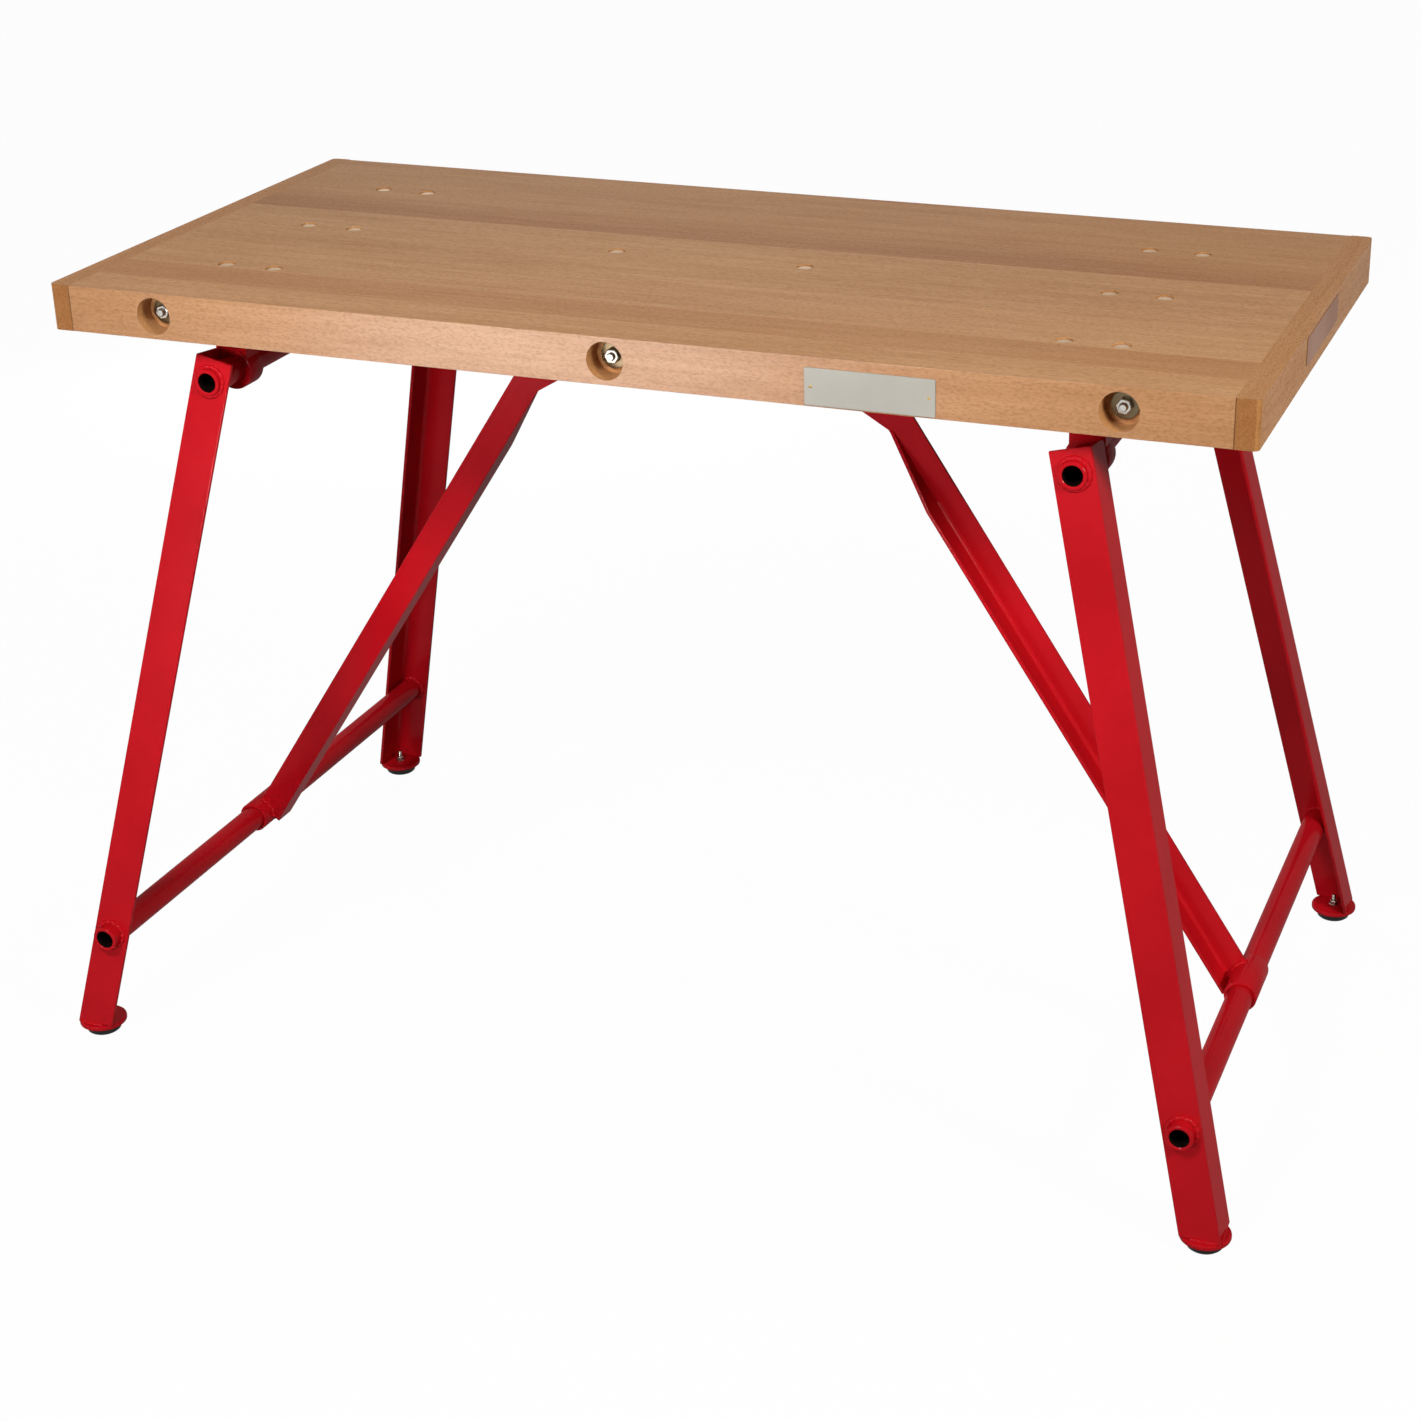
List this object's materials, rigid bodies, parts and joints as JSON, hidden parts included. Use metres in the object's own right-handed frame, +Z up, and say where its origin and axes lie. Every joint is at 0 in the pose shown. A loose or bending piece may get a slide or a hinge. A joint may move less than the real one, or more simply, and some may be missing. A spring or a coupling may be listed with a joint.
{
  "type": "folding workbench",
  "caption": "Folding workbench: thick wooden top on two splayed angle-iron leg frames that hinge in under it, each held open by a cranked brace hooked to the underside.",
  "frame": {"origin": "on the floor, under the middle of the four feet's box", "axes": "+X along the bench towards the end with the small plate, -Y the front edge with the name plate, +Z up"},
  "size_m": [1.2672, 0.7312, 0.817],
  "materials": {
    "board_wood": "oiled, satin",
    "cleat_wood": "oiled, satin",
    "red_paint": "gloss enamel",
    "zinc": "bright zinc plate",
    "plate_metal": "satin, bare",
    "rubber": "matt"
  },
  "bodies": {
    "top": {"board_1": "board_wood", "board_2": "board_wood", "board_3": "board_wood", "board_4": "board_wood", "board_5": "board_wood", "end_plate": "plate_metal", "left_cleat": "cleat_wood", "left_hinge_back": "red_paint", "left_hinge_back_bolt_left": "zinc", "left_hinge_back_bolt_right": "zinc", "left_hinge_front": "red_paint", "left_hinge_front_bolt_left": "zinc", "left_hinge_front_bolt_right": "zinc", "left_hinge_middle": "red_paint", "left_hinge_middle_bolt_left": "zinc", "left_hinge_middle_bolt_right": "zinc", "left_keeper": "red_paint", "left_keeper_bolt": "zinc", "left_keeper_pin": "zinc", "name_plate": "plate_metal", "right_cleat": "cleat_wood", "right_hinge_back": "red_paint", "right_hinge_back_bolt_left": "zinc", "right_hinge_back_bolt_right": "zinc", "right_hinge_front": "red_paint", "right_hinge_front_bolt_left": "zinc", "right_hinge_front_bolt_right": "zinc", "right_hinge_middle": "red_paint", "right_hinge_middle_bolt_left": "zinc", "right_hinge_middle_bolt_right": "zinc", "right_keeper": "red_paint", "right_keeper_bolt": "zinc", "right_keeper_pin": "zinc", "tie_nut_left_back": "zinc", "tie_nut_left_front": "zinc", "tie_nut_middle_back": "zinc", "tie_nut_middle_front": "zinc", "tie_nut_right_back": "zinc", "tie_nut_right_front": "zinc", "tie_rod_left": "zinc", "tie_rod_middle": "zinc", "tie_rod_right": "zinc"},
    "left_legs": {"left_back_foot_pad": "rubber", "left_back_foot_plate": "red_paint", "left_back_leg": "red_paint", "left_crossbar": "red_paint", "left_front_foot_pad": "rubber", "left_front_foot_plate": "red_paint", "left_front_leg": "red_paint", "left_pivot_tube": "red_paint"},
    "left_brace": {"left_brace": "red_paint"},
    "right_legs": {"right_back_foot_pad": "rubber", "right_back_foot_plate": "red_paint", "right_back_leg": "red_paint", "right_crossbar": "red_paint", "right_front_foot_pad": "rubber", "right_front_foot_plate": "red_paint", "right_front_leg": "red_paint", "right_pivot_tube": "red_paint"},
    "right_brace": {"right_brace": "red_paint"}
  },
  "joints": [
    {"name": "left_fold", "type": "hinge", "parent": "top", "child": "left_legs", "pos_m": [-0.4385, 0, 0.7256], "axis": [0, -1, 0], "range_deg": [0, 96.35]},
    {"name": "right_fold", "type": "hinge", "parent": "top", "child": "right_legs", "pos_m": [0.4385, 0, 0.7256], "axis": [0, 1, 0], "range_deg": [0, 79.7]},
    {"name": "left_brace_swing", "type": "hinge", "parent": "left_legs", "child": "left_brace", "pos_m": [-0.58188, 0, 0.12241], "axis": [0, 1, 0], "range_deg": [0, 336]},
    {"name": "right_brace_swing", "type": "hinge", "parent": "right_legs", "child": "right_brace", "pos_m": [0.58188, 0, 0.12241], "axis": [0, -1, 0], "range_deg": [0, 330]}
  ],
  "couplings": [
    {"joint": "left_brace_swing", "follows": "left_fold", "ratio": 3.4805},
    {"joint": "right_brace_swing", "follows": "right_fold", "ratio": 4.1368}
  ]
}
